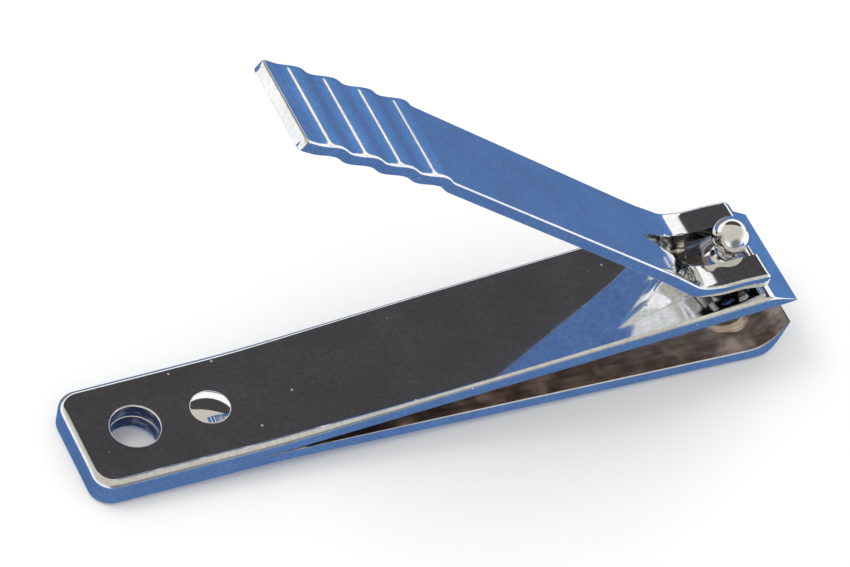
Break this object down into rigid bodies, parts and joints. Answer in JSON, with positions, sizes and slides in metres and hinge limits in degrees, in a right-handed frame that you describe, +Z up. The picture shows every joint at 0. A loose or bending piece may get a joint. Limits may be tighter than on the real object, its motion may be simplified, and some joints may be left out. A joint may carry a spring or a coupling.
{
  "type": "nail clipper",
  "caption": "Straight-edge nail clipper: riveted spring blades with upturned jaws, a ball-headed pivot post and a ridged press lever that folds over.",
  "frame": {"origin": "middle of the clipper's length and width, on the plane it stands on", "axes": "+X toward the cutting edges, +Y across the blades, +Z up; the lever is at its open rest angle"},
  "size_m": [0.08, 0.0134, 0.0501],
  "materials": {
    "blades": "chrome-plated spring steel, polished, with fine scratches",
    "rivet": "plated steel, low domed heads",
    "post": "plated steel, polished ball head",
    "lever": "chrome-plated steel, polished"
  },
  "bodies": {
    "blades": {"lower_blade": "blades", "upper_blade_tang": "blades", "tail_rivet": "rivet"},
    "upper_arm": {"upper_blade_arm": "blades"},
    "post": {"pivot_post": "post"},
    "crossbar": {"lever_crossbar": "post"},
    "lever": {"lever": "lever"}
  },
  "joints": [
    {"name": "upper_blade_flex", "type": "hinge", "parent": "blades", "child": "upper_arm", "pos_m": [-0.01983, 0, 0.00419], "axis": [0, 1, 0], "range_deg": [0, 3.38], "stiffness_Nm_per_rad": 10},
    {"name": "post_spin", "type": "hinge", "parent": "blades", "child": "post", "pos_m": [0.03405, 0, 0.0081], "axis": [-0.1028, 0, 0.9947], "continuous": true},
    {"name": "lever_press", "type": "hinge", "parent": "crossbar", "child": "lever", "pos_m": [0.03542, 0, 0.01135], "axis": [0, -1, 0], "range_deg": [0, 24.5]},
    {"name": "lever_flip", "type": "hinge", "parent": "post", "child": "crossbar", "pos_m": [0.03542, 0, 0.01135], "axis": [0, 1, 0], "range_deg": [0, 141.5]}
  ],
  "couplings": [
    {"joint": "lever_press", "follows": "upper_blade_flex", "ratio": 7.248}
  ]
}
